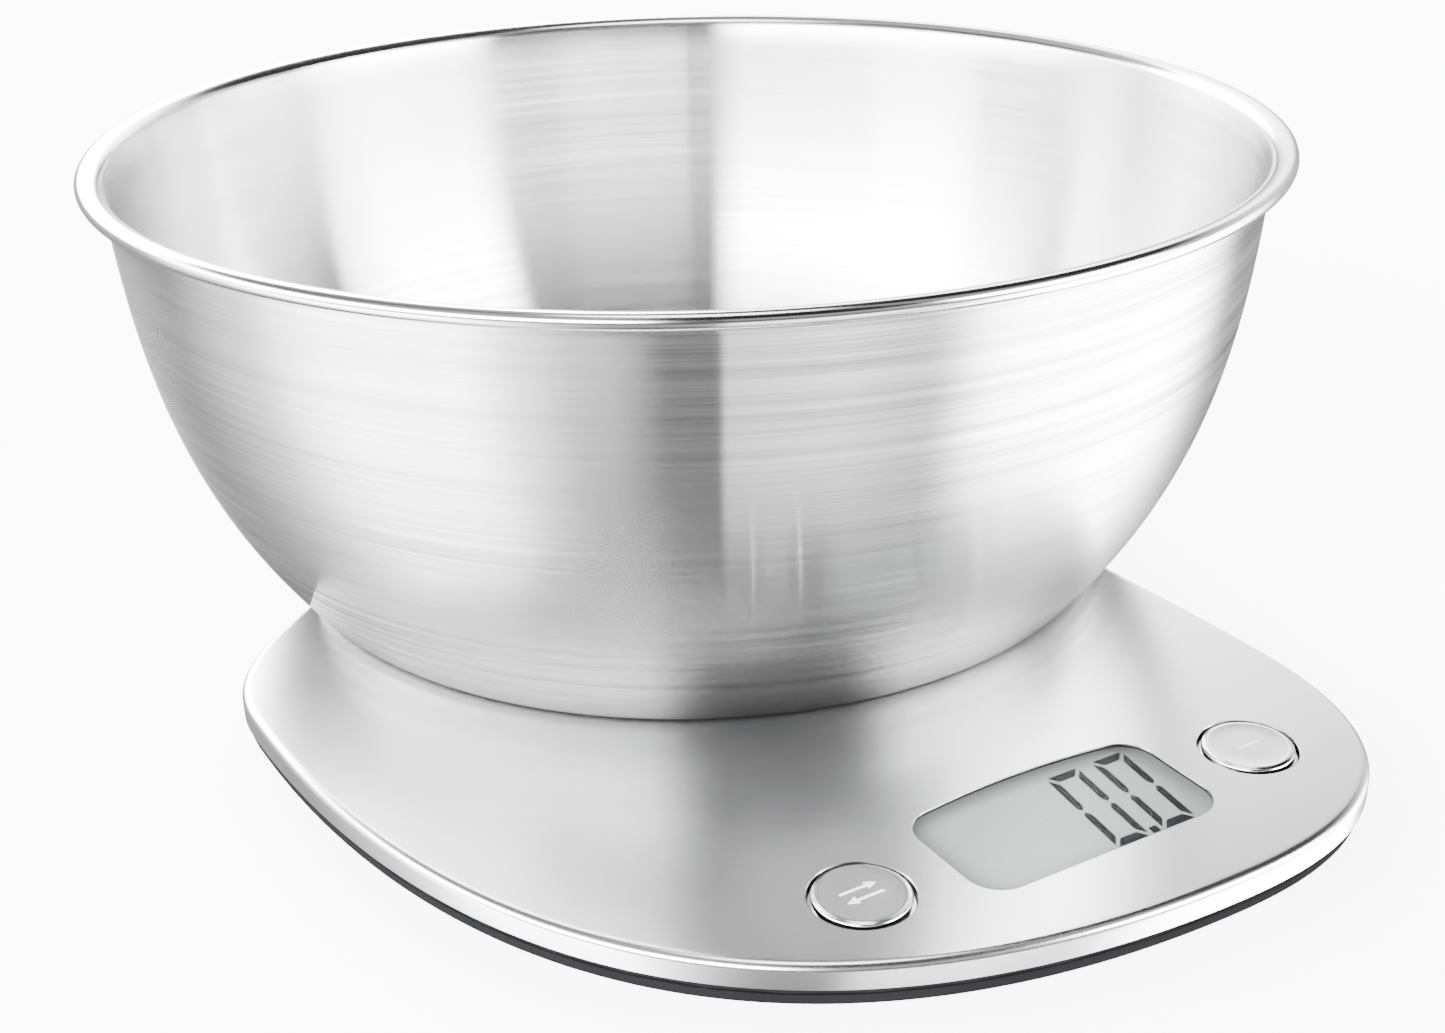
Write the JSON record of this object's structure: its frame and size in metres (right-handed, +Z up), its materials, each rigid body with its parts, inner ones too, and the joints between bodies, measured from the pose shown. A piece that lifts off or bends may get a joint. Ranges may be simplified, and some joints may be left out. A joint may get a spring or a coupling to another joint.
{
  "type": "kitchen scale",
  "caption": "Slim digital kitchen scale with a steel weighing plate, display window, push buttons and a lift-off steel mixing bowl.",
  "frame": {"origin": "on the table, under the middle of the whole object's box", "axes": "+Z up, the display and buttons face -Y (front), +X to the right"},
  "size_m": [0.24, 0.2824, 0.103],
  "materials": {
    "bowl_steel": "stainless steel, brushed round the bowl, polished rim",
    "plate_steel": "satin stainless steel",
    "button_steel": "satin steel cap with a bright bevel",
    "black_plastic": "fine-grained black moulded plastic",
    "grey_plastic": "grey moulded plastic",
    "lens": "clear window, polished",
    "lcd": "grey liquid crystal glass",
    "rubber": "matt black rubber",
    "board": "green circuit board",
    "switch_steel": "plated steel switch cover",
    "plain_steel": "plain spring steel",
    "battery_steel": "nickel-plated cell",
    "screw_steel": "zinc-plated screws",
    "brass": "spring brass",
    "lead": "thin insulated wire"
  },
  "bodies": {
    "base": {"top_cover": "plate_steel", "upper_frame": "black_plastic", "lower_tray": "black_plastic", "lcd_lens": "lens", "lcd_bezel": "grey_plastic", "lcd_glass": "lcd", "zebra_strip": "rubber", "circuit_board": "board", "controller_chip": "rubber", "unit_switch": "switch_steel", "power_switch": "switch_steel", "coin_battery": "battery_steel", "battery_contact_minus": "brass", "battery_contact_plus": "brass", "load_cell_rear_left": "plain_steel", "cell_holder_rear_left": "grey_plastic", "foot_cup_rear_left": "black_plastic", "foot_pad_rear_left": "rubber", "sensor_lead_rear_left": "lead", "load_cell_rear_right": "plain_steel", "cell_holder_rear_right": "grey_plastic", "foot_cup_rear_right": "black_plastic", "foot_pad_rear_right": "rubber", "sensor_lead_rear_right": "lead", "load_cell_front_left": "plain_steel", "cell_holder_front_left": "grey_plastic", "foot_cup_front_left": "black_plastic", "foot_pad_front_left": "rubber", "sensor_lead_front_left": "lead", "load_cell_front_right": "plain_steel", "cell_holder_front_right": "grey_plastic", "foot_cup_front_right": "black_plastic", "foot_pad_front_right": "rubber", "sensor_lead_front_right": "lead", "case_screw_1": "screw_steel", "case_screw_2": "screw_steel", "case_screw_3": "screw_steel", "case_screw_4": "screw_steel", "case_screw_5": "screw_steel", "case_screw_6": "screw_steel", "board_screw_1": "screw_steel", "board_screw_2": "screw_steel"},
    "bowl": {"bowl": "bowl_steel"},
    "unit_button": {"unit_button": "button_steel"},
    "power_button": {"power_button": "button_steel"},
    "battery_door": {"battery_door": "black_plastic"}
  },
  "joints": [
    {"name": "bowl_lift", "type": "slide", "parent": "base", "child": "bowl", "axis": [0, 0, 1], "range_m": [0, 0.15]},
    {"name": "unit_button_press", "type": "slide", "parent": "base", "child": "unit_button", "axis": [0, 0, -1], "range_m": [0, 0.0005], "stiffness_N_per_m": 800, "springref_m": -0.0002},
    {"name": "power_button_press", "type": "slide", "parent": "base", "child": "power_button", "axis": [0, 0, -1], "range_m": [0, 0.0005], "stiffness_N_per_m": 800, "springref_m": -0.0002},
    {"name": "battery_door_hinge", "type": "hinge", "parent": "base", "child": "battery_door", "pos_m": [-0.026, -0.0216, 0.0026], "axis": [1, 0, 0], "range_deg": [0, 80]}
  ]
}
